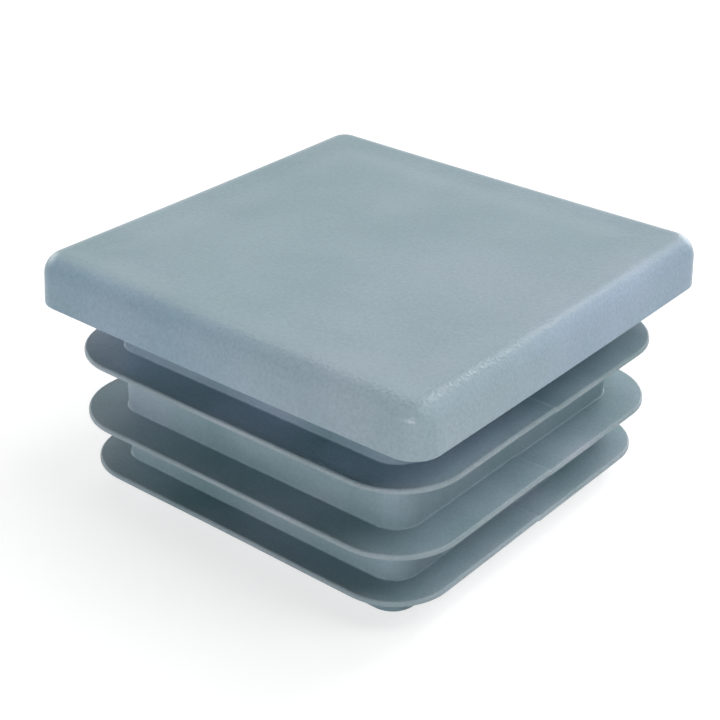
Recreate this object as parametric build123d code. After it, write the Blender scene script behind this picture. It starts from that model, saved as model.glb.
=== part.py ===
from build123d import *
import math
import os

# Square tube end cap, moulded in one piece from soft polyethylene. The head covers the
# end of a 50 x 50 mm tube. Under it a hollow plug reaches into the tube and holds by
# three thin fins that bend against the tube's inside. Sizes are in millimetres. The
# plug's open rim lies in the plane z = 0, Z is the tube's axis, and the head is on top.

# Head: the plate that lies on the tube's end
HEAD_WIDTH = 50.0
HEAD_THICKNESS = 5.5
HEAD_CORNER_RADIUS = 3.0
HEAD_EDGE_RADIUS = 2.4
HEAD_DRAFT_DEG = 3.0

# Core: the square wall of the plug, measured where it meets the head
PLUG_LENGTH = 22.6
CORE_WIDTH = 38.6
CORE_CORNER_RADIUS = 3.1
CORE_DRAFT_DEG = 0.5
RIM_ROUND = 0.5
SEAT_FILLET = 0.5

# Cavity: open at the rim, and carried up into the head to keep the top plate thin
WALL_AT_RIM = 1.6
CAVITY_DRAFT_DEG = 0.75
TOP_PLATE = 3.0
CEILING_FILLET = 0.6

# Fins, from the head down: height of the flat upper side, and width across the tips
FINS = [(17.2, 47.0), (9.9, 47.0), (3.95, 45.3)]
FIN_TIP_THICKNESS = 0.55
FIN_ROOT_THICKNESS = 1.0
FIN_TIP_CHAMFER = 0.2
FIN_ROOT_FILLET = 0.3

CORE_HALF = CORE_WIDTH / 2
CORNER_CENTRE = CORE_HALF - CORE_CORNER_RADIUS
CAVITY_DEPTH = PLUG_LENGTH + HEAD_THICKNESS - TOP_PLATE


def lean(height, degrees):
    """How far a wall with this draft moves sideways over a height."""
    return height * math.tan(math.radians(degrees))


def core_face(z):
    """Half width across the outside of the core wall at height z."""
    return CORE_HALF - lean(PLUG_LENGTH - z, CORE_DRAFT_DEG)


def cavity_face(z):
    """Half width across the cavity at height z."""
    return core_face(0) - WALL_AT_RIM - lean(z, CAVITY_DRAFT_DEG)


def rounded_square(half, radius, z):
    """A flat square with round corners, centred on the axis at height z."""
    return Pos(0, 0, z) * RectangleRounded(2 * half, 2 * half, radius)


def make_head():
    """Plate with drafted sides and a large round along its top edges."""
    plate = extrude(
        rounded_square(HEAD_WIDTH / 2, HEAD_CORNER_RADIUS, PLUG_LENGTH),
        amount=HEAD_THICKNESS,
        taper=HEAD_DRAFT_DEG,
    )
    top_edges = plate.faces().sort_by(Axis.Z)[-1].edges()
    return fillet(top_edges, HEAD_EDGE_RADIUS)


def fin_corners(top, width):
    """Outline of one fin in the section, from its underside out and back over the top.

    Each entry is (distance from the axis, height, round at that corner).
    """
    tip = width / 2
    underside = top - FIN_ROOT_THICKNESS
    return [
        (core_face(underside), underside, 0),
        (tip, top - FIN_TIP_THICKNESS, 0),
        (tip, top - FIN_TIP_CHAMFER, 0),
        (tip - FIN_TIP_CHAMFER, top, 0),
        (core_face(top), top, FIN_ROOT_FILLET),
    ]


def plug_section():
    """Section through the core wall and its fins, as distance from the axis and height."""
    inside = CORNER_CENTRE + (cavity_face(CAVITY_DEPTH) - CORNER_CENTRE) / 2
    seat_edge = CORE_HALF + SEAT_FILLET + FIN_ROOT_FILLET
    corners = [(inside, 0, 0), (core_face(0), 0, RIM_ROUND)]
    for top, width in reversed(FINS):
        corners += fin_corners(top, width)
    corners += [
        (CORE_HALF, PLUG_LENGTH, SEAT_FILLET),
        (seat_edge, PLUG_LENGTH, 0),
        (seat_edge, PLUG_LENGTH + SEAT_FILLET, 0),
        (inside, PLUG_LENGTH + SEAT_FILLET, 0),
    ]
    outline = FilletPolyline(
        *[(distance, height) for distance, height, _ in corners],
        radius=[corner_round for _, _, corner_round in corners],
        close=True,
    )
    return make_face(outline.edges())


def make_plug():
    """The section carried round the core's square path, so the fins follow its corners."""
    h = CORE_HALF
    path = FilletPolyline(
        (-h, -h, 0), (h, -h, 0), (h, h, 0), (-h, h, 0),
        radius=CORE_CORNER_RADIUS,
        close=True,
    )
    start = Plane(origin=(-CORNER_CENTRE, 0, 0), x_dir=(0, -1, 0), z_dir=(-1, 0, 0))
    return sweep(start * plug_section(), path=path)


def make_cavity():
    """The hollow left by the mould's core: a drafted block with a soft ceiling edge."""
    mouth = cavity_face(0)
    ceiling = cavity_face(CAVITY_DEPTH)
    block = loft([
        rounded_square(mouth, mouth - CORNER_CENTRE, 0),
        rounded_square(ceiling, ceiling - CORNER_CENTRE, CAVITY_DEPTH),
    ])
    ceiling_edges = block.faces().sort_by(Axis.Z)[-1].edges()
    return fillet(ceiling_edges, CEILING_FILLET)


def make_end_cap():
    """Head and plug as one moulding, hollowed from below."""
    return make_head() + make_plug() - make_cavity()


os.makedirs("parts", exist_ok=True)
end_cap = make_end_cap()
export_step(end_cap, "parts/end_cap.step")
box = end_cap.bounding_box()
print(f"end_cap: {end_cap.volume:.0f} mm3, {box.size.X:.1f} x {box.size.Y:.1f} x {box.size.Z:.1f} mm")
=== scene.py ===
"""Looks of the square tube end cap: one moulding of soft grey-blue polyethylene.

The moulding is drawn in millimetres with its open rim at height 0, like the solid that it
stands for, and brought to metres at the end. Its skin is one closed section, carried round a
square outline by a geometry node tree.
"""

import logging
import math
from dataclasses import asdict, dataclass
from enum import Enum

import bpy
from mathutils import Matrix, Vector


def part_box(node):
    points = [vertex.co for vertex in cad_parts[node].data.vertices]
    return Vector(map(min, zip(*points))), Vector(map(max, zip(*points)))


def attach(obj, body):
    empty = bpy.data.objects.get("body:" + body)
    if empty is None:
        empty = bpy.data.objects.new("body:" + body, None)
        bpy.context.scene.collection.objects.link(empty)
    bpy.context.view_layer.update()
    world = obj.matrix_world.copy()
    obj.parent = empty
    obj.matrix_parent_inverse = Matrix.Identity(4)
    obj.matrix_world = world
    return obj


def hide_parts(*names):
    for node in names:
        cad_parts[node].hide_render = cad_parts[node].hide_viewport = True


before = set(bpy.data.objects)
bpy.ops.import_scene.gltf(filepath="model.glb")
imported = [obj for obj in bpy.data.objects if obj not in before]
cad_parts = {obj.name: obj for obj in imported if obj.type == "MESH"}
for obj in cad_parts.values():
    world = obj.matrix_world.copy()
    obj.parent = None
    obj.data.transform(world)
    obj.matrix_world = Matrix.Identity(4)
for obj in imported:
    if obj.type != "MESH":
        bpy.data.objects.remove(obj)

log = logging.getLogger("tube_end_cap")

MM = 0.001
NODE = "end_cap"
BODY = "root"
WHITE = "#ffffff"
REACH = "reach"
OUTWARD = "outward"
THIN = "thin"
SAME_POINT = 0.001
NOISE_MIDDLE = 0.5
# the sockets of a colour Mix node, which share their names with its other sockets
FROM, TO, MIXED = 6, 7, 2
# those of one that mixes numbers
LOW, HIGH = 2, 3
MATH, VECTOR_MATH, MAP_RANGE = "ShaderNodeMath", "ShaderNodeVectorMath", "ShaderNodeMapRange"
MIX = "ShaderNodeMix"
SMOOTH = {"interpolation_type": "SMOOTHSTEP"}
COLOUR = {"data_type": "RGBA"}
ADD = {"operation": "ADD"}
SUBTRACT = {"operation": "SUBTRACT"}
MULTIPLY = {"operation": "MULTIPLY"}
DIVIDE = {"operation": "DIVIDE"}
MULTIPLY_ADD = {"operation": "MULTIPLY_ADD"}
GREATER = {"operation": "GREATER_THAN"}
LESS = {"operation": "LESS_THAN"}
MAXIMUM = {"operation": "MAXIMUM"}
ABSOLUTE = {"operation": "ABSOLUTE"}
SCALE = {"operation": "SCALE"}

Socket = bpy.types.NodeSocket
NodeTree = bpy.types.NodeTree
Socketed = Socket | bpy.types.Object | bpy.types.Material | float | int | str | tuple


def srgb(code: str) -> tuple[float, float, float, float]:
    """Turn an sRGB hex colour into linear red, green, blue and alpha.

    Args:
        code: the colour as "#rrggbb".

    Returns:
        Linear values from 0 to 1, with alpha 1.
    """
    levels = [int(code[i:i + 2], 16) / 255 for i in (1, 3, 5)]
    toe, slope, shift, power = 0.04045, 12.92, 0.055, 2.4
    linear = [v / slope if v <= toe else ((v + shift) / (1 + shift)) ** power for v in levels]
    return (*linear, 1.0)


def add_node(
    tree: NodeTree,
    kind: str,
    settings: dict[str, object] | None = None,
    inputs: dict[str | int, Socketed] | None = None,
) -> bpy.types.Node:
    """Add a node with its settings and links.

    Args:
        tree: the node tree that takes it.
        kind: Blender's name for the kind of node.
        settings: properties of the node and their values.
        inputs: sockets by name or number, each with a value or the output that feeds it.

    Returns:
        The new node.
    """
    node = tree.nodes.new(kind)
    for name, value in (settings or {}).items():
        setattr(node, name, value)
    for key, value in (inputs or {}).items():
        if isinstance(value, Socket):
            tree.links.new(value, node.inputs[key])
        else:
            node.inputs[key].default_value = value
    return node


class Side(Enum):
    """The cap's four sides, as quarter turns from +X."""

    RIGHT = 0
    BACK = 1
    LEFT = 2
    FRONT = 3


@dataclass(frozen=True)
class Corner:
    """A corner of the section, in millimetres.

    The outline is a square with round corners, so each point of the section has the
    distance of those corners' centres from the middle planes as well as its own.
    """

    distance: float
    height: float
    centre: float
    rounding: float = 0.0


@dataclass(frozen=True)
class Fin:
    """One gripping fin: height of its flat upper side, and width across its tips."""

    top: float
    width: float


@dataclass(frozen=True)
class CapSection:
    """The section of the cap, from the middle of the head's top round to the cavity's ceiling."""

    head_width: float
    height: float
    head_thickness: float = 5.5
    head_corner_radius: float = 3.0
    head_edge_radius: float = 2.4
    head_draft_deg: float = 3.0
    core_width: float = 38.6
    core_corner_radius: float = 3.1
    core_draft_deg: float = 0.5
    rim_round: float = 0.5
    seat_fillet: float = 0.5
    wall_at_rim: float = 1.6
    cavity_draft_deg: float = 0.75
    top_plate: float = 3.0
    ceiling_fillet: float = 0.6
    fins: tuple[Fin, ...] = (Fin(17.2, 47.0), Fin(9.9, 47.0), Fin(3.95, 45.3))
    fin_tip_thickness: float = 0.55
    fin_root_thickness: float = 1.0
    fin_tip_round: float = 0.25
    fin_root_fillet: float = 0.2
    broken_edge: float = 0.08
    thin_edge: float = 0.7
    face_length: float = 1.2
    arc_step_deg: float = 7.5
    guard: float = 0.06

    @property
    def seat_height(self) -> float:
        """Height of the head's underside above the rim."""
        return self.height - self.head_thickness

    @property
    def core_half(self) -> float:
        """Distance of the core's wall from the axis, where it meets the head."""
        return self.core_width / 2

    @property
    def core_centre(self) -> float:
        """Distance of the plug's corner centres from the middle planes."""
        return self.core_half - self.core_corner_radius

    @property
    def cavity_depth(self) -> float:
        """Height of the cavity's ceiling above the rim."""
        return self.height - self.top_plate

    def core_face(self, height: float) -> float:
        """Distance of the core's outer wall from the axis at a height."""
        return self.core_half - (self.seat_height - height) * math.tan(math.radians(self.core_draft_deg))

    def cavity_face(self, height: float) -> float:
        """Distance of the cavity's wall from the axis at a height."""
        lean = height * math.tan(math.radians(self.cavity_draft_deg))
        return self.core_face(0) - self.wall_at_rim - lean

    def head_corners(self) -> list[Corner]:
        """List the head's corners, from its top's middle out and down to the seat."""
        half = self.head_width / 2
        centre = half - self.head_corner_radius
        lean = self.head_thickness * math.tan(math.radians(self.head_draft_deg))
        return [
            Corner(0, self.height, 0),
            Corner(half - lean, self.height, centre, self.head_edge_radius),
            Corner(half, self.seat_height, centre, self.broken_edge),
            Corner(self.core_half, self.seat_height, self.core_centre, self.seat_fillet),
        ]

    def fin_corners(self, fin: Fin) -> list[Corner]:
        """List a fin's corners, from its upper root out to the tip and back.

        Args:
            fin: the fin's height and width.

        Returns:
            Its four corners. The underside rises to the thin tip.
        """
        underside = fin.top - self.fin_root_thickness
        tip = fin.width / 2
        return [
            Corner(self.core_face(fin.top), fin.top, self.core_centre, self.fin_root_fillet),
            Corner(tip, fin.top, self.core_centre, self.fin_tip_round),
            Corner(tip, fin.top - self.fin_tip_thickness, self.core_centre, self.broken_edge),
            Corner(self.core_face(underside), underside, self.core_centre, self.fin_root_fillet),
        ]

    def cavity_corners(self) -> list[Corner]:
        """List the corners of the rim and the cavity, ending in the ceiling's middle."""
        ceiling = self.cavity_depth
        return [
            Corner(self.core_face(0), 0, self.core_centre, self.rim_round),
            Corner(self.cavity_face(0), 0, self.core_centre, self.broken_edge),
            Corner(self.cavity_face(ceiling), ceiling, self.core_centre, self.ceiling_fillet),
            Corner(0, ceiling, 0),
        ]

    def rounded(self, before: Corner, here: Corner, after: Corner) -> list[Vector]:
        """Turn one corner into points along its round.

        Args:
            before: the corner that comes first.
            here: the corner to round.
            after: the corner that follows.

        Returns:
            Points as (distance, centre, height). One more point on each side keeps the
            round's shading off the flat beside it.
        """
        point = Vector((here.distance, here.height))
        back = (Vector((before.distance, before.height)) - point).normalized()
        onward = (Vector((after.distance, after.height)) - point).normalized()
        half_angle = back.angle(onward) / 2
        reach = here.rounding / math.tan(half_angle)
        middle = point + (back + onward).normalized() * (here.rounding / math.sin(half_angle))
        first, last = point + back * reach - middle, point + onward * reach - middle
        sweep = first.angle(last)
        steps = math.ceil(math.degrees(sweep) / self.arc_step_deg)
        arc = [middle + first.slerp(last, i / steps) * here.rounding for i in range(steps + 1)]
        line = [arc[0] + back * self.guard, *arc, arc[-1] + onward * self.guard]
        return [Vector((p.x, here.centre, p.y)) for p in line]

    def stations(self) -> list[Vector]:
        """Work out the section's points as (distance, centre, height), with the flats divided."""
        corners = self.head_corners()
        for fin in self.fins:
            corners += self.fin_corners(fin)
        corners += self.cavity_corners()
        ends = [[Vector((c.distance, c.centre, c.height))] for c in (corners[0], corners[-1])]
        runs = [self.rounded(*three) for three in zip(corners, corners[1:], corners[2:])]
        points = list(ends[0])
        for run in [*runs, ends[1]]:
            start, gap = points[-1], run[0] - points[-1]
            parts = max(1, math.ceil(gap.length / self.face_length))
            points += [start + gap * (i / parts) for i in range(1, parts)]
            points += run
        return points

    def thinness(self, station: Vector) -> float:
        """Tell how near a point of the section is to a fin's thin tip.

        Args:
            station: the point as (distance, centre, height).

        Returns:
            1 at a tip, falling to 0 a short way in.
        """
        for fin in self.fins:
            if abs(station.z - fin.top + self.fin_tip_thickness / 2) < self.fin_tip_thickness:
                return max(0.0, 1 - (fin.width / 2 - station.x) / self.thin_edge)
        return 0.0


@dataclass(frozen=True)
class CapOutline:
    """The square outline that the section is carried round, in units of the corner centres."""

    seam_half_width: float
    guard: float
    side_steps: int = 14
    seam_steps: int = 5
    arc_steps: int = 14

    def side_stops(self) -> list[float]:
        """Places along a side from -1 to 1, closer together at its middle and its ends."""
        seam = [self.seam_half_width * (i + 1) / self.seam_steps for i in range(self.seam_steps)]
        even = [i / self.side_steps for i in range(1, self.side_steps)]
        half = seam + [stop for stop in even if stop > seam[-1] + self.guard] + [1 - self.guard]
        return [-1.0, *(-stop for stop in reversed(half)), 0.0, *half]

    def points(self) -> tuple[list[Vector], list[Vector]]:
        """Work out the outline's points.

        Returns:
            The place of each point's corner centre, and the way out from it.
        """
        centres, outward = [], []
        for side in Side:
            turn = Matrix.Rotation(side.value * math.pi / 2, 3, "Z")
            for stop in self.side_stops():
                centres.append(turn @ Vector((1, stop, 0)))
                outward.append(turn @ Vector((1, 0, 0)))
            for i in range(self.arc_steps):
                angle = i / self.arc_steps * math.pi / 2
                centres.append(turn @ Vector((1, 1, 0)))
                outward.append(turn @ Vector((math.cos(angle), math.sin(angle), 0)))
        return centres, outward


@dataclass(frozen=True)
class MouldMarks:
    """What cooling and the mould leave on the moulding, in millimetres.

    Each is an input of the sweep, named as it is here.
    """

    sink_at_edges: float = 0.11
    sink_at_middle: float = 0.14
    sink_fades_over: float = 3.0
    groove_depth: float = 0.1
    groove_half_width: float = 3.2
    groove_distance: float = 19.9
    fin_wave: float = 0.2
    fin_wave_length: float = 16.0
    seam_ridge: float = 0.01
    seam_half_step: float = 0.075
    seam_full: float = 2.5
    seam_half_width: float = 0.3
    plug_aside_x: float = -0.153
    plug_aside_y: float = -0.174
    seed: float = 7.0


class SweepTree:
    """Geometry nodes that carry the section round the outline and mark it as the mould does.

    The section comes in as the object's own mesh, and the outline as another object.
    """

    def __init__(self, sizes: dict[str, float]) -> None:
        """Build the tree.

        Args:
            sizes: the name of each size that it takes as an input, and its value.
        """
        self.tree = bpy.data.node_groups.new("sweep_and_shrink", "GeometryNodeTree")
        face = self.tree.interface
        face.new_socket("Section", in_out="INPUT", socket_type="NodeSocketGeometry")
        face.new_socket("Outline", in_out="INPUT", socket_type="NodeSocketObject")
        face.new_socket("Finish", in_out="INPUT", socket_type="NodeSocketMaterial")
        for name in sizes:
            face.new_socket(name, in_out="INPUT", socket_type="NodeSocketFloat")
        face.new_socket("Moulding", in_out="OUTPUT", socket_type="NodeSocketGeometry")
        self.given = add_node(self.tree, "NodeGroupInput").outputs
        self.place = add_node(self.tree, "GeometryNodeInputPosition").outputs[0]
        self.reach = add_node(self.tree, "GeometryNodeInputNamedAttribute", None, {"Name": REACH}).outputs[0]
        self.dress(self.set_aside(self.raise_seam(self.shrink(self.sweep()))))

    def sweep(self) -> Socket:
        """Lay out a grid of section points by outline points and bend it into the moulding.

        Returns:
            The closed skin, which keeps each point's distance in the section as "reach" and
            its thinness as "thin".
        """
        tree, given, vectors = self.tree, self.given, {"data_type": "FLOAT_VECTOR"}
        ring = add_node(tree, "GeometryNodeObjectInfo", None, {0: given["Outline"]}).outputs["Geometry"]
        rows = add_node(tree, "GeometryNodeAttributeDomainSize", None, {0: given["Section"]})
        around = add_node(tree, "GeometryNodeAttributeDomainSize", None, {0: ring})
        columns = add_node(tree, "FunctionNodeIntegerMath", ADD, {0: around.outputs[0], 1: 1})
        lines = {"Vertices X": rows.outputs[0], "Vertices Y": columns.outputs[0]}
        grid = add_node(tree, "GeometryNodeMeshGrid", None, lines)
        index = add_node(tree, "GeometryNodeInputIndex").outputs[0]
        cell = {0: index, 1: columns.outputs[0]}
        row = add_node(tree, "FunctionNodeIntegerMath", {"operation": "DIVIDE_FLOOR"}, cell)
        column = add_node(tree, "FunctionNodeIntegerMath", {"operation": "MODULO"}, cell)
        once = {0: column.outputs[0], 1: around.outputs[0]}
        turn = add_node(tree, "FunctionNodeIntegerMath", {"operation": "MODULO"}, once)
        way_out = add_node(tree, "GeometryNodeInputNamedAttribute", vectors, {"Name": OUTWARD}).outputs[0]
        from_section = {"Geometry": given["Section"], "Value": self.place, "Index": row.outputs[0]}
        from_ring = {"Geometry": ring, "Value": self.place, "Index": turn.outputs[0]}
        station = add_node(tree, "GeometryNodeSampleIndex", vectors, from_section)
        corner = add_node(tree, "GeometryNodeSampleIndex", vectors, from_ring)
        outward = add_node(tree, "GeometryNodeSampleIndex", vectors, from_ring | {"Value": way_out})
        split = add_node(tree, "ShaderNodeSeparateXYZ", None, {0: station.outputs[0]})
        distance, centre, height = split.outputs
        radius = add_node(tree, MATH, SUBTRACT, {0: distance, 1: centre})
        to_corner = add_node(tree, VECTOR_MATH, SCALE, {0: corner.outputs[0], "Scale": centre})
        spoke = {0: outward.outputs[0], "Scale": radius.outputs[0]}
        to_skin = add_node(tree, VECTOR_MATH, SCALE, spoke)
        lift = add_node(tree, "ShaderNodeCombineXYZ", None, {"Z": height})
        level = add_node(tree, VECTOR_MATH, ADD, {0: to_corner.outputs[0], 1: to_skin.outputs[0]})
        spot = add_node(tree, VECTOR_MATH, ADD, {0: level.outputs[0], 1: lift.outputs[0]})
        thin = add_node(tree, "GeometryNodeInputNamedAttribute", None, {"Name": THIN}).outputs[0]
        tip = {"Geometry": given["Section"], "Value": thin, "Index": row.outputs[0]}
        thinness = add_node(tree, "GeometryNodeSampleIndex", None, tip)
        sheet = grid.outputs["Mesh"]
        for name, value in ((REACH, distance), (THIN, thinness.outputs[0])):
            kept = {"Geometry": sheet, "Name": name, "Value": value}
            sheet = add_node(tree, "GeometryNodeStoreNamedAttribute", None, kept).outputs[0]
        bend = {"Geometry": sheet, "Position": spot.outputs[0]}
        bent = add_node(tree, "GeometryNodeSetPosition", None, bend)
        closing = {"Geometry": bent.outputs[0], "Distance": SAME_POINT}
        return add_node(tree, "GeometryNodeMergeByDistance", None, closing).outputs[0]

    def head_sink(self) -> Socket:
        """Work out how far the head sinks: not at all at its corners, most in its middle.

        Returns:
            The drop. Each way across the head adds the edges' drop, and the middle has the two
            and what it still lacks.
        """
        tree, given = self.tree, self.given
        half = add_node(tree, VECTOR_MATH, DIVIDE, {0: self.place, 1: given["Head Half"]}).outputs[0]
        square = add_node(tree, VECTOR_MATH, MULTIPLY, {0: half, 1: half}).outputs[0]
        bow = add_node(tree, VECTOR_MATH, SUBTRACT, {0: (1.0, 1.0, 1.0), 1: square}).outputs[0]
        across, along, _ = add_node(tree, "ShaderNodeSeparateXYZ", None, {0: bow}).outputs
        either = add_node(tree, MATH, ADD, {0: across, 1: along}).outputs[0]
        both = add_node(tree, MATH, MULTIPLY, {0: across, 1: along}).outputs[0]
        edges = add_node(tree, MATH, MULTIPLY, {0: either, 1: given["Sink At Edges"]})
        lacking = {0: given["Sink At Edges"], 1: -2.0, 2: given["Sink At Middle"]}
        middle = add_node(tree, MATH, MULTIPLY_ADD, lacking)
        whole = {0: both, 1: middle.outputs[0], 2: edges.outputs[0]}
        return add_node(tree, MATH, MULTIPLY_ADD, whole).outputs[0]

    def fin_sway(self) -> Socket:
        """Work out the slow wave of the thin fins, which grows from the core to their tips.

        Returns:
            The rise or drop there, before the head is left out.
        """
        tree, given = self.tree, self.given
        scale = add_node(tree, MATH, DIVIDE, {0: 1.0, 1: given["Fin Wave Length"]})
        wave = {"Vector": self.place, "W": given["Seed"], "Scale": scale.outputs[0], "Detail": 0.0}
        noise = add_node(tree, "ShaderNodeTexNoise", {"noise_dimensions": "4D"}, wave)
        swing = add_node(tree, MATH, SUBTRACT, {0: noise.outputs[0], 1: NOISE_MIDDLE})
        sized = add_node(tree, MATH, MULTIPLY, {0: swing.outputs[0], 1: given["Fin Wave"]})
        span = {"Value": self.reach, "From Min": given["Core Half"], "From Max": given["Fin Half"]}
        growth = add_node(tree, MAP_RANGE, None, span)
        return add_node(tree, MATH, MULTIPLY, {0: sized.outputs[0], 1: growth.outputs[0]}).outputs[0]

    def wall_groove(self, height: Socket) -> Socket:
        """Work out the faint sink mark that the plug's thick wall leaves on the head's face.

        Args:
            height: the point's height.

        Returns:
            The drop there, which follows the wall under the face.
        """
        tree, given = self.tree, self.given
        past = add_node(tree, MATH, SUBTRACT, {0: self.reach, 1: given["Groove Distance"]})
        aside = add_node(tree, MATH, ABSOLUTE, {0: past.outputs[0]})
        bank = {
            "Value": aside.outputs[0], "From Max": given["Groove Half Width"],
            "To Min": given["Groove Depth"], "To Max": 0.0,
        }
        groove = add_node(tree, MAP_RANGE, SMOOTH, bank)
        on_face = add_node(tree, MATH, GREATER, {0: height, 1: given["Face Height"]})
        return add_node(tree, MATH, MULTIPLY, {0: groove.outputs[0], 1: on_face.outputs[0]}).outputs[0]

    def shrink(self, skin: Socket) -> Socket:
        """Let the head sink between its corners and the fins sway.

        Args:
            skin: the skin as it was drawn.

        Returns:
            The skin as it cools.
        """
        tree, given = self.tree, self.given
        height = add_node(tree, "ShaderNodeSeparateXYZ", None, {0: self.place}).outputs["Z"]
        neck = {0: given["Seat Height"], 1: given["Sink Fades Over"]}
        start = add_node(tree, MATH, SUBTRACT, neck).outputs[0]
        rise = {"Value": height, "From Min": start, "From Max": given["Seat Height"]}
        in_head = add_node(tree, MAP_RANGE, SMOOTH, rise)
        sink = {0: self.head_sink(), 1: in_head.outputs[0]}
        sunk = add_node(tree, MATH, MULTIPLY, sink)
        in_plug = add_node(tree, MATH, LESS, {0: height, 1: start})
        sway = {0: self.fin_sway(), 1: in_plug.outputs[0]}
        swayed = add_node(tree, MATH, MULTIPLY, sway)
        drop = add_node(tree, MATH, ADD, {0: sunk.outputs[0], 1: self.wall_groove(height)})
        shift = add_node(tree, MATH, SUBTRACT, {0: swayed.outputs[0], 1: drop.outputs[0]})
        offset = add_node(tree, "ShaderNodeCombineXYZ", None, {"Z": shift.outputs[0]})
        return self.moved(skin, offset.outputs[0])

    def moved(self, skin: Socket, offset: Socket) -> Socket:
        """Return the skin with each point moved by its own offset."""
        move = {"Geometry": skin, "Offset": offset}
        return add_node(self.tree, "GeometryNodeSetPosition", None, move).outputs[0]

    def set_aside(self, skin: Socket) -> Socket:
        """Set the plug a little off the head's middle, because the mould's halves do not quite meet.

        Args:
            skin: the skin with the plug under the head's middle.

        Returns:
            The skin with the plug aside. The head's underside follows from its edge inwards.
        """
        tree, given = self.tree, self.given
        height = add_node(tree, "ShaderNodeSeparateXYZ", None, {0: self.place}).outputs["Z"]
        inward = {"Value": self.reach, "From Min": given["Underside Edge"], "From Max": given["Core Half"]}
        under = add_node(tree, MAP_RANGE, SMOOTH, inward)
        in_plug = add_node(tree, MATH, LESS, {0: height, 1: given["Seam Top"]})
        either = {0: in_plug.outputs[0], 1: under.outputs[0]}
        moving = add_node(tree, MATH, MAXIMUM, either)
        below = add_node(tree, MATH, LESS, {0: height, 1: given["Plate Middle"]})
        share = add_node(tree, MATH, MULTIPLY, {0: moving.outputs[0], 1: below.outputs[0]})
        way = {0: given["Plug Aside X"], 1: given["Plug Aside Y"]}
        aside = add_node(tree, "ShaderNodeCombineXYZ", None, way)
        shift = {0: aside.outputs[0], "Scale": share.outputs[0]}
        return self.moved(skin, add_node(tree, VECTOR_MATH, SCALE, shift).outputs[0])

    def raise_seam(self, skin: Socket) -> Socket:
        """Raise the parting line's fine ridge and set the mould's two halves a little off in height.

        Args:
            skin: the skin without its seam.

        Returns:
            The skin with it.
        """
        tree, given = self.tree, self.given
        across, along, height = add_node(tree, "ShaderNodeSeparateXYZ", None, {0: self.place}).outputs
        wide = add_node(tree, MATH, ABSOLUTE, {0: across}).outputs[0]
        deep = add_node(tree, MATH, ABSOLUTE, {0: along}).outputs[0]
        out = add_node(tree, MATH, MAXIMUM, {0: wide, 1: deep})
        outside = add_node(tree, MATH, GREATER, {0: out.outputs[0], 1: given["Seam From"]})
        foot = {"Value": height, "From Min": given["Seam Foot"], "From Max": given["Seam Full"]}
        above = add_node(tree, MAP_RANGE, SMOOTH, foot)
        below = add_node(tree, MATH, GREATER, {0: given["Seam Top"], 1: height})
        within = outside.outputs[0]
        for limit in (above, below):
            both = {0: within, 1: limit.outputs[0]}
            within = add_node(tree, MATH, MULTIPLY, both).outputs[0]
        crest = {
            "Value": deep, "From Max": given["Seam Half Width"],
            "To Min": given["Seam Ridge"], "To Max": 0.0,
        }
        ridge = add_node(tree, MAP_RANGE, SMOOTH, crest)
        raised = add_node(tree, MATH, MULTIPLY, {0: ridge.outputs[0], 1: within})
        normal = add_node(tree, "GeometryNodeInputNormal").outputs[0]
        push = add_node(tree, VECTOR_MATH, SCALE, {0: normal, "Scale": raised.outputs[0]})
        ridged = self.moved(skin, push.outputs[0])
        near = add_node(tree, MATH, MULTIPLY, {0: given["Seam Half Width"], 1: -1.0})
        halves = {
            "Value": along, "From Min": near.outputs[0], "From Max": given["Seam Half Width"],
            "To Min": 1.0, "To Max": -1.0,
        }
        turn = add_node(tree, MAP_RANGE, SMOOTH, halves)
        lift = add_node(tree, MATH, MULTIPLY, {0: turn.outputs[0], 1: given["Seam Half Step"]})
        share = add_node(tree, MATH, MULTIPLY, {0: lift.outputs[0], 1: within})
        offset = add_node(tree, "ShaderNodeCombineXYZ", None, {"Z": share.outputs[0]})
        return self.moved(ridged, offset.outputs[0])

    def dress(self, skin: Socket) -> None:
        """Bring the skin to metres, smooth its shading and give it its finish.

        Args:
            skin: the finished skin in millimetres.
        """
        tree = self.tree
        metres = {"Geometry": skin, "Scale": (MM, MM, MM)}
        sized = add_node(tree, "GeometryNodeTransform", None, metres)
        smooth = add_node(tree, "GeometryNodeSetShadeSmooth", None, {0: sized.outputs[0]})
        real = add_node(tree, "GeometryNodeRealizeInstances", None, {0: smooth.outputs[0]})
        finish = {"Geometry": real.outputs[0], "Material": self.given["Finish"]}
        dressed = add_node(tree, "GeometryNodeSetMaterial", None, finish)
        add_node(tree, "NodeGroupOutput", None, {0: dressed.outputs[0]})

    def identifiers(self) -> dict[str, str]:
        """Return the identifier of each input, by its name."""
        items = self.tree.interface.items_tree
        return {item.name: item.identifier for item in items if item.in_out == "INPUT"}


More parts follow.
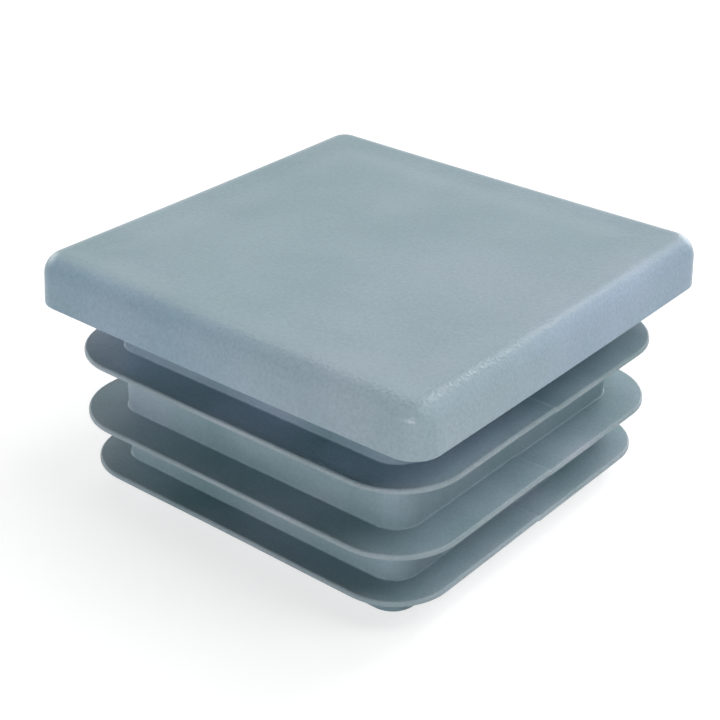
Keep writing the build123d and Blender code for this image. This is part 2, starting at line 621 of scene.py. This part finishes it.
@dataclass(frozen=True)
class CapMoulding:
    """The whole cap as one piece."""

    section: CapSection
    marks: MouldMarks

    def helper(self, name: str, points: list[Vector]) -> bpy.types.Object:
        """Put points in the scene as an object of bare vertices.

        Args:
            name: the object's name.
            points: the places of its vertices.

        Returns:
            The object.
        """
        mesh = bpy.data.meshes.new(name)
        mesh.from_pydata(points, [], [])
        thing = bpy.data.objects.new(name, mesh)
        bpy.context.scene.collection.objects.link(thing)
        return thing

    def sizes(self) -> dict[str, float]:
        """Name the sizes that the sweep takes, in millimetres: the marks', then the section's."""
        section = self.section
        return {name.replace("_", " ").title(): size for name, size in asdict(self.marks).items()} | {
            "Head Half": section.head_width / 2,
            "Seat Height": section.seat_height,
            "Core Half": section.core_half,
            "Fin Half": section.fins[0].width / 2,
            "Face Height": section.height - section.head_edge_radius / 2,
            "Seam From": section.core_half - section.wall_at_rim / 2,
            "Seam Foot": section.rim_round,
            "Seam Top": section.seat_height - section.seat_fillet,
            "Underside Edge": section.head_width / 2 - section.broken_edge,
            "Plate Middle": section.height - section.top_plate / 2,
        }

    def build(self, finish: bpy.types.Material) -> bpy.types.Object:
        """Make the moulding as a plain mesh.

        Args:
            finish: the material that it takes.

        Returns:
            The piece, in metres, at the origin.
        """
        section, marks = self.section, self.marks
        outline = CapOutline(marks.seam_half_width / section.core_centre, section.guard / section.core_centre)
        centres, outward = outline.points()
        ring = self.helper("outline", centres)
        way_out = ring.data.attributes.new(OUTWARD, "FLOAT_VECTOR", "POINT")
        way_out.data.foreach_set("vector", [value for spoke in outward for value in spoke])
        stations = section.stations()
        piece = self.helper("end_cap_moulding", stations)
        thin = piece.data.attributes.new(THIN, "FLOAT", "POINT")
        thin.data.foreach_set("value", [section.thinness(station) for station in stations])
        sweep = SweepTree(self.sizes())
        modifier = piece.modifiers.new("sweep", "NODES")
        modifier.node_group = sweep.tree
        inputs = self.sizes() | {"Outline": ring, "Finish": finish}
        for name, key in sweep.identifiers().items():
            if name in inputs:
                modifier[key] = inputs[name]
        evaluated = piece.evaluated_get(bpy.context.evaluated_depsgraph_get())
        skin = bpy.data.meshes.new_from_object(evaluated)
        piece.modifiers.clear()
        piece.data = skin
        skin.name = piece.name
        bpy.data.objects.remove(ring)
        return piece


@dataclass(frozen=True)
class MouldedPolyethylene:
    """Low-density polyethylene, moulded against a spark-eroded steel cavity.

    The resin is tinted right through, so edges wear no other colour. It is waxy and reflects
    weakly. Cooling leaves faint clouds in the tint, which lean to green and to violet at random,
    and over the head a ramp of painted light runs darker and greener toward -X and lighter and
    more violet toward +X. The eroded steel leaves a fine grain that glitters where the head's
    edges turn to the light, and frosts the head's sides. Light and shade are also painted into
    the tint: the sides lighter and bluer, the plug a touch deeper and the neck under the head
    bluer as shaded, and the fins' thin tips paler and warmer for the light through them. Real
    pits are about a tenth of a millimetre across, and are drawn three times as coarse so that
    they show. Sizes are in millimetres.
    """

    tint: str = "#9aabb3"
    # painted light: the head's sides lighter and bluer as lit, and greyer near the front corner
    side_tint: str = "#9fb2c3"
    corner_tint: str = "#a0b2ba"
    # painted shade: the plug a touch deeper, as shaded under the head
    plug_tint: str = "#98abb4"
    # painted shade: the neck under the head bluer, for the light in its shade
    neck_tint: str = "#9aadbb"
    # painted light: the fins' thin tips paler and warmer, for light through them and the highlight on their
    # lips
    thin_tint: str = "#a0acb3"
    cloud_pale: str = "#ffffff"
    cloud_deep: str = "#f5f6f7"
    cloud_size: float = 14.0
    drift_green: str = "#d6e5e2"
    drift_violet: str = "#fffcff"
    drift_size: float = 11.0
    patch_detail: float = 2.0
    noise_low: float = 0.3
    noise_high: float = 0.7
    # the share of a ramp of painted light in the drift on the head, and the way it grows lighter
    drift_with_flow: float = 0.6
    flow_way: tuple[float, float, float] = (0.95, -0.3, 0.0)
    pit_tint: str = "#4c5a62"
    pit_shade: float = 0.16
    side_pit_shade: float = 0.17
    roughness: float = 0.3
    side_roughness: float = 0.34
    plug_roughness: float = 0.42
    rubbed_roughness: float = 0.18
    neck_foot: float = -0.15
    neck_fade: float = 0.1
    side_from: float = 0.6
    seat_band: float = 0.1
    rubbed_reach: float = 34.0
    rubbed_clear: float = 5.0
    bend_gain: float = 4.0
    corner_fade: float = 0.7
    ior: float = 1.51
    gloss: float = 0.2
    grain_size: float = 0.33
    grain_depth: float = 0.02
    side_grain_depth: float = 0.036
    rubbed_grain_depth: float = 0.13

    def material(self, section: CapSection) -> bpy.types.Material:
        """Make the finish as a Blender material.

        Args:
            section: the cap's section, which says where the head's sides and the plug are.

        Returns:
            The material.
        """
        finish = bpy.data.materials.new("moulded_polyethylene")
        finish.use_nodes = True
        tree = finish.node_tree
        shader = tree.nodes["Principled BSDF"]
        shader.inputs["IOR"].default_value = self.ior
        shader.inputs["Specular IOR Level"].default_value = self.gloss
        place = add_node(tree, "ShaderNodeTexCoord").outputs["Object"]
        drawn = add_node(tree, VECTOR_MATH, SCALE, {0: place, "Scale": 1 / MM}).outputs[0]
        side, near_front_corner, bend, corner = self.head_zones(tree, drawn, section)
        height = add_node(tree, "ShaderNodeSeparateXYZ", None, {0: drawn}).outputs["Z"]
        seat = section.seat_height
        down = {"Value": height, "From Min": seat, "From Max": seat - section.seat_fillet}
        in_plug = add_node(tree, MAP_RANGE, None, down).outputs[0]
        # the neck under the head, where the tint paints its shade bluer
        foot = section.fins[0].top + self.neck_foot
        neck = {"Value": height, "From Min": foot, "From Max": foot + self.neck_fade, "To Max": in_plug}
        in_neck = add_node(tree, MAP_RANGE, None, neck).outputs[0]
        body = self.resin(tree, side, near_front_corner, in_plug, in_neck)
        fine = {"Vector": drawn, "Scale": 1 / self.grain_size, "Detail": self.patch_detail}
        pits = add_node(tree, "ShaderNodeTexNoise", None, fine).outputs[0]
        clouds = self.clouded(tree, drawn, body, in_plug, section)
        tree.links.new(self.shaded(tree, clouds, pits, side), shader.inputs["Base Color"])
        rubbed = add_node(tree, MATH, MAXIMUM, {0: bend, 1: corner}).outputs[0]
        finer = (in_plug, self.plug_roughness), (side, self.side_roughness), (rubbed, self.rubbed_roughness)
        tree.links.new(self.layered(tree, self.roughness, finer), shader.inputs["Roughness"])
        tree.links.new(self.grain(tree, pits, side, bend), shader.inputs["Normal"])
        return finish

    def layered(self, tree: NodeTree, base: float, layers: tuple[tuple[Socket, float], ...]) -> Socket:
        """Lay values for parts of the skin over the one that holds elsewhere.

        Args:
            tree: the material's node tree.
            base: the value elsewhere.
            layers: an output that is 1 on a part, and the value there, in turn.

        Returns:
            The value.
        """
        value = base
        for part, there in layers:
            blend = {"Value": part, "To Min": value, "To Max": there}
            value = add_node(tree, MAP_RANGE, None, blend).outputs[0]
        return value

    def head_zones(self, tree: NodeTree, drawn: Socket, section: CapSection) -> tuple[Socket, ...]:
        """Find the head's sides, and the part of its edge that other caps have rubbed.

        Args:
            tree: the material's node tree.
            drawn: the place in millimetres.
            section: the cap's section.

        Returns:
            Four outputs: the first is 1 on the sides and underside and fades to 0 across the top's
            edge, the second is 1 near the knocked corner, the third is 1 on the rubbed part of the
            edge there, and the fourth on the corner itself.
        """
        across, along, height = add_node(tree, "ShaderNodeSeparateXYZ", None, {0: drawn}).outputs
        wide = add_node(tree, MATH, ABSOLUTE, {0: across}).outputs[0]
        deep = add_node(tree, MATH, ABSOLUTE, {0: along}).outputs[0]
        out = add_node(tree, MATH, MAXIMUM, {0: wide, 1: deep}).outputs[0]
        half = section.head_width / 2
        edge = {"Value": out, "From Min": half - section.head_edge_radius, "From Max": half - self.side_from}
        near = add_node(tree, MAP_RANGE, SMOOTH, edge).outputs[0]
        seat, band = section.seat_height, self.seat_band
        over = add_node(tree, MATH, GREATER, {0: height, 1: seat - band})
        under = add_node(tree, MATH, LESS, {0: height, 1: seat + band})
        # the sides and underside, frosted by the grain and painted lighter as lit
        either = {0: near, 1: under.outputs[0]}
        frosted_and_lit = add_node(tree, MATH, MAXIMUM, either).outputs[0]
        side = add_node(tree, MATH, MULTIPLY, {0: frosted_and_lit, 1: over.outputs[0]}).outputs[0]
        to_side = add_node(tree, MATH, MULTIPLY, {0: near, 1: self.bend_gain}).outputs[0]
        to_top = add_node(tree, MATH, SUBTRACT, {0: 1.0, 1: near}).outputs[0]
        bend = add_node(tree, MATH, MULTIPLY, {0: to_side, 1: to_top}).outputs[0]
        spread = add_node(tree, MATH, ADD, {0: wide, 1: deep}).outputs[0]
        reach = section.head_width - section.head_corner_radius
        knocked = {"Value": spread, "From Min": reach, "From Max": reach + self.corner_fade}
        corner = add_node(tree, MAP_RANGE, SMOOTH, knocked).outputs[0]
        knock = Vector((half, -half, seat + section.head_thickness / 2))
        away = add_node(tree, VECTOR_MATH, {"operation": "DISTANCE"}, {0: drawn, 1: knock})
        fade = {"Value": away.outputs["Value"], "From Min": self.rubbed_reach, "From Max": self.rubbed_clear}
        worn = add_node(tree, MAP_RANGE, SMOOTH, fade).outputs[0]
        zones = [side, worn]
        for zone in (bend, corner):
            zones.append(add_node(tree, MATH, MULTIPLY, {0: zone, 1: worn}).outputs[0])
        return tuple(zones)

    def resin(
        self, tree: NodeTree, side: Socket, near_front_corner: Socket, in_plug: Socket, in_neck: Socket
    ) -> Socket:
        """Tint each part, painting the sides and tips as lit and the plug and neck as shaded.

        Args:
            tree: the material's node tree.
            side: 1 on the head's sides.
            near_front_corner: 1 near the knocked corner.
            in_plug: 1 below the head.
            in_neck: 1 from the head down to the first fin's upper face.

        Returns:
            The colour before clouds.
        """
        # the head's sides, painted lighter and bluer as lit, and greyer near the front corner
        paler = {"Factor": near_front_corner, FROM: srgb(self.side_tint), TO: srgb(self.corner_tint)}
        sides = add_node(tree, MIX, COLOUR, paler)
        frosted_and_lit = {"Factor": side, FROM: srgb(self.tint), TO: sides.outputs[MIXED]}
        head = add_node(tree, MIX, COLOUR, frosted_and_lit)
        thin = add_node(tree, "ShaderNodeAttribute", {"attribute_name": THIN}).outputs["Fac"]
        body = head.outputs[MIXED]
        # the plug and the neck painted as shaded, the fins' thin tips painted paler and warmer as lit through
        for part, tint in (in_plug, self.plug_tint), (in_neck, self.neck_tint), (thin, self.thin_tint):
            tinted = {"Factor": part, FROM: body, TO: srgb(tint)}
            body = add_node(tree, MIX, COLOUR, tinted).outputs[MIXED]
        return body

    def clouded(
        self, tree: NodeTree, drawn: Socket, body: Socket, in_plug: Socket, section: CapSection
    ) -> Socket:
        """Lay the random clouds and drift of hue over the resin, and a ramp of painted light on the head.

        Args:
            tree: the material's node tree.
            drawn: the place in millimetres.
            body: the resin's colour.
            in_plug: 1 below the head, where no ramp of painted light is laid.
            section: the cap's section.

        Returns:
            The colour.
        """
        # the ramp of painted light, darker and greener toward -X and lighter and more violet toward +X
        toward_light = {0: drawn, 1: self.flow_way}
        along = add_node(tree, VECTOR_MATH, {"operation": "DOT_PRODUCT"}, toward_light)
        half = section.head_width / 2
        path = {"Value": along.outputs["Value"], "From Min": -half, "From Max": half}
        painted_ramp = add_node(tree, MAP_RANGE, None, path)
        head_only = {"Value": in_plug, "To Min": self.drift_with_flow, "To Max": 0.0}
        steered = add_node(tree, MAP_RANGE, None, head_only).outputs[0]
        # size, the two ends of the hue, and the share that follows the ramp of painted light
        casts = (
            (self.cloud_size, self.cloud_deep, self.cloud_pale, 0.0),
            (self.drift_size, self.drift_green, self.drift_violet, steered),
        )
        for size, low, high, follow in casts:
            patches = {"Vector": drawn, "Scale": 1 / size, "Detail": self.patch_detail}
            patch = add_node(tree, "ShaderNodeTexNoise", None, patches).outputs[0]
            full = {"Value": patch, "From Min": self.noise_low, "From Max": self.noise_high}
            spread = add_node(tree, MAP_RANGE, None, full)
            share = {"Factor": follow, LOW: spread.outputs[0], HIGH: painted_ramp.outputs[0]}
            blend = add_node(tree, MIX, {"data_type": "FLOAT"}, share)
            between = {"Factor": blend.outputs[0], FROM: srgb(low), TO: srgb(high)}
            cast = add_node(tree, MIX, COLOUR, between)
            laid = {"Factor": 1.0, FROM: body, TO: cast.outputs[MIXED]}
            body = add_node(tree, MIX, COLOUR | {"blend_type": "MULTIPLY"}, laid).outputs[MIXED]
        return body

    def shaded(self, tree: NodeTree, clouds: Socket, pits: Socket, side: Socket) -> Socket:
        """Darken the grain's pits, which hold a little shade.

        Args:
            tree: the material's node tree.
            clouds: the colour of the smooth skin.
            pits: the grain, low in its pits.
            side: 1 on the head's sides, where the grain is deeper.

        Returns:
            The colour.
        """
        shade = self.layered(tree, self.pit_shade, ((side, self.side_pit_shade),))
        low = {"Value": pits, "From Min": self.noise_high, "From Max": self.noise_low}
        pit = add_node(tree, MAP_RANGE, None, low).outputs[0]
        share = add_node(tree, MATH, MULTIPLY, {0: pit, 1: shade}).outputs[0]
        dark = {"Factor": share, FROM: clouds, TO: srgb(self.pit_tint)}
        return add_node(tree, MIX, COLOUR, dark).outputs[MIXED]

    def grain(self, tree: NodeTree, pits: Socket, side: Socket, bend: Socket) -> Socket:
        """Raise the grain that the eroded steel leaves.

        Args:
            tree: the material's node tree.
            pits: the grain, low in its pits.
            side: 1 on the head's sides, where the grain is deeper.
            bend: 1 on the rubbed edge, where the grain is scuffed up and catches the light.

        Returns:
            The normal.
        """
        deeper = (side, self.side_grain_depth * MM), (bend, self.rubbed_grain_depth * MM)
        deep = self.layered(tree, self.grain_depth * MM, deeper)
        height = add_node(tree, MATH, MULTIPLY, {0: pits, 1: deep}).outputs[0]
        return add_node(tree, "ShaderNodeBump", None, {"Height": height, "Distance": 1.0}).outputs[0]


@dataclass(frozen=True)
class Softbox:
    """A diffused lamp on a stand, aimed at the cap's middle. Its sizes are in metres."""

    name: str
    azimuth_deg: float
    elevation_deg: float
    width: float
    height: float
    power: float
    distance: float = 1.2

    def build(self, target: Vector) -> None:
        """Set the lamp up.

        Args:
            target: the point that it faces.
        """
        azimuth, elevation = math.radians(self.azimuth_deg), math.radians(self.elevation_deg)
        toward = Vector((
            math.sin(azimuth) * math.cos(elevation),
            -math.cos(azimuth) * math.cos(elevation),
            math.sin(elevation),
        ))
        lamp = bpy.data.lights.new(self.name, "AREA")
        lamp.shape = "RECTANGLE"
        lamp.size, lamp.size_y = self.width, self.height
        lamp.energy = self.power
        stand = bpy.data.objects.new(self.name, lamp)
        stand.location = target + toward * self.distance
        stand.rotation_euler = toward.to_track_quat("Z", "Y").to_euler()
        bpy.context.scene.collection.objects.link(stand)


@dataclass(frozen=True)
class StudioCamera:
    """The camera: where it stands round the head's top face, and its lens.

    It clips at so many times its distance.
    """

    azimuth_deg: float = 39.66
    elevation_deg: float = 29.08
    roll_deg: float = 0.57
    distance: float = 163.71 * MM
    aside: float = -4.59 * MM
    raised: float = -14.25 * MM
    lens: float = 79.20
    sensor: float = 36.0
    shift_x: float = 0.0417
    shift_y: float = 0.0278
    clip_start: float = 0.1
    clip_end: float = 100.0

    def build(self, target: Vector) -> None:
        """Set the camera up and make it the scene's.

        Args:
            target: the middle of the head's top face.
        """
        azimuth, elevation = math.radians(self.azimuth_deg), math.radians(self.elevation_deg)
        level = Matrix.Rotation(azimuth, 3, "Z") @ Matrix.Rotation(math.pi / 2 - elevation, 3, "X")
        turned = level @ Matrix.Rotation(math.radians(self.roll_deg), 3, "Z")
        data = bpy.data.cameras.new("camera")
        data.lens, data.sensor_width = self.lens, self.sensor
        data.shift_x, data.shift_y = self.shift_x, self.shift_y
        data.clip_start, data.clip_end = self.distance * self.clip_start, self.distance * self.clip_end
        camera = bpy.data.objects.new("camera", data)
        place = target + turned @ Vector((self.aside, self.raised, self.distance))
        camera.matrix_world = Matrix.Translation(place) @ turned.to_4x4()
        bpy.context.scene.collection.objects.link(camera)
        bpy.context.scene.camera = camera


def seen_directly(tree: NodeTree) -> Socket:
    """Tell what the camera, a reflection or a refraction sees from what lights the cap.

    Args:
        tree: the material's or the world's node tree.

    Returns:
        An output that is 1 for such rays and 0 for the others.
    """
    ray = add_node(tree, "ShaderNodeLightPath").outputs
    seen = add_node(tree, MATH, ADD, {0: ray["Is Camera Ray"], 1: ray["Is Glossy Ray"]})
    through = {0: seen.outputs[0], 1: ray["Is Transmission Ray"]}
    return add_node(tree, MATH, ADD | {"use_clamp": True}, through).outputs[0]


@dataclass(frozen=True)
class Studio:
    """A white table under soft lamps, with white all round it."""

    table_size: float = 4.0
    table_colour: str = "#f3f3f3"
    table_seen: float = 1.2
    table_lift: float = 0.6
    table_gap: float = 0.02 * MM
    fade_from: float = 0.06
    fade_to: float = 0.3
    # each lamp's azimuth and elevation, its width and height, and its power in watts
    lamps: tuple[Softbox, ...] = (
        Softbox("key_softbox", 120, 68, 0.8, 0.7, 4.6),
        Softbox("right_softbox", 108, 49, 0.7, 0.6, 5.7),
        Softbox("back_panel", 180, 14, 0.62, 0.5, 4.4),
        Softbox("back_softbox", 165, 46, 0.2, 0.26, 2.8),
        Softbox("back_left_softbox", 200, 54, 0.7, 0.6, 2.2),
        Softbox("left_softbox", 245, 50, 0.7, 0.6, 1.8),
        Softbox("left_panel", 266, 17, 0.76, 0.42, 4.8),
        Softbox("front_strip", 26, 6, 0.42, 0.2, 3.3),
        Softbox("front_left_strip", 340, 6, 0.42, 0.2, 2.1),
        Softbox("front_spot", 14, 8, 0.12, 0.12, 1.1),
    )

    def table(self) -> None:
        """Lay the table top a hair under the rim, so that the two share no plane."""
        half, level = self.table_size / 2, -self.table_gap
        corners = [(-half, -half, level), (half, -half, level), (half, half, level), (-half, half, level)]
        mesh = bpy.data.meshes.new("table")
        mesh.from_pydata(corners, [], [(0, 1, 2, 3)])
        mesh.materials.append(self.table_finish())
        table = bpy.data.objects.new("table", mesh)
        bpy.context.scene.collection.objects.link(table)

    def table_finish(self) -> bpy.types.Material:
        """Make the matt white of the table.

        It is seen as pure white where no shadow falls and all over further out, and it can be
        looked through from below.

        Returns:
            The material.
        """
        finish = bpy.data.materials.new("matt_white_paper")
        finish.use_nodes = True
        tree = finish.node_tree
        tree.nodes.clear()
        place = add_node(tree, "ShaderNodeTexCoord").outputs["Object"]
        away = add_node(tree, VECTOR_MATH, {"operation": "LENGTH"}, {0: place}).outputs["Value"]
        fade = {
            "Value": away, "From Min": self.fade_from, "From Max": self.fade_to,
            "To Min": self.table_lift, "To Max": 1.0,
        }
        lift = add_node(tree, MAP_RANGE, SMOOTH, fade).outputs[0]
        share = add_node(tree, MATH, MULTIPLY, {0: seen_directly(tree), 1: lift})
        paper = add_node(tree, "ShaderNodeBsdfDiffuse", None, {"Color": srgb(self.table_colour)})
        white = {"Color": srgb(WHITE), "Strength": self.table_seen}
        glow = add_node(tree, "ShaderNodeEmission", None, white)
        lifted = {0: share.outputs[0], 1: paper.outputs[0], 2: glow.outputs[0]}
        look = add_node(tree, "ShaderNodeMixShader", None, lifted)
        below = add_node(tree, "ShaderNodeNewGeometry").outputs["Backfacing"]
        clear = add_node(tree, "ShaderNodeBsdfTransparent")
        sided = {0: below, 1: look.outputs[0], 2: clear.outputs[0]}
        either = add_node(tree, "ShaderNodeMixShader", None, sided)
        add_node(tree, "ShaderNodeOutputMaterial", None, {"Surface": either.outputs[0]})
        return finish

    def world(self) -> None:
        """Surround the scene with white, which shows and is reflected but lights nothing else."""
        world = bpy.data.worlds.new("white_surround")
        world.use_nodes = True
        tree = world.node_tree
        background = tree.nodes["Background"]
        background.inputs["Color"].default_value = srgb(WHITE)
        tree.links.new(seen_directly(tree), background.inputs["Strength"])
        bpy.context.scene.world = world

    def build(self, target: Vector) -> None:
        """Set the studio up round a point."""
        self.table()
        self.world()
        for lamp in self.lamps:
            lamp.build(target)
            log.info("lamp %s", lamp.name)


def main() -> None:
    """Build the cap, its studio and its camera."""
    logging.basicConfig(level=logging.INFO, format="%(name)s: %(message)s")
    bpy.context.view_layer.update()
    low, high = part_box(NODE)
    section = CapSection(head_width=(high.x - low.x) / MM, height=(high.z - low.z) / MM)
    piece = CapMoulding(section, MouldMarks()).build(MouldedPolyethylene().material(section))
    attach(piece, BODY)
    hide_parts(NODE)
    log.info("piece %s: %d faces", piece.name, len(piece.data.polygons))
    Studio().build(Vector((0, 0, high.z / 2)))
    StudioCamera().build(Vector((0, 0, high.z)))
    bpy.context.scene.view_settings.view_transform = "Standard"


if __name__ == "__main__":
    main()
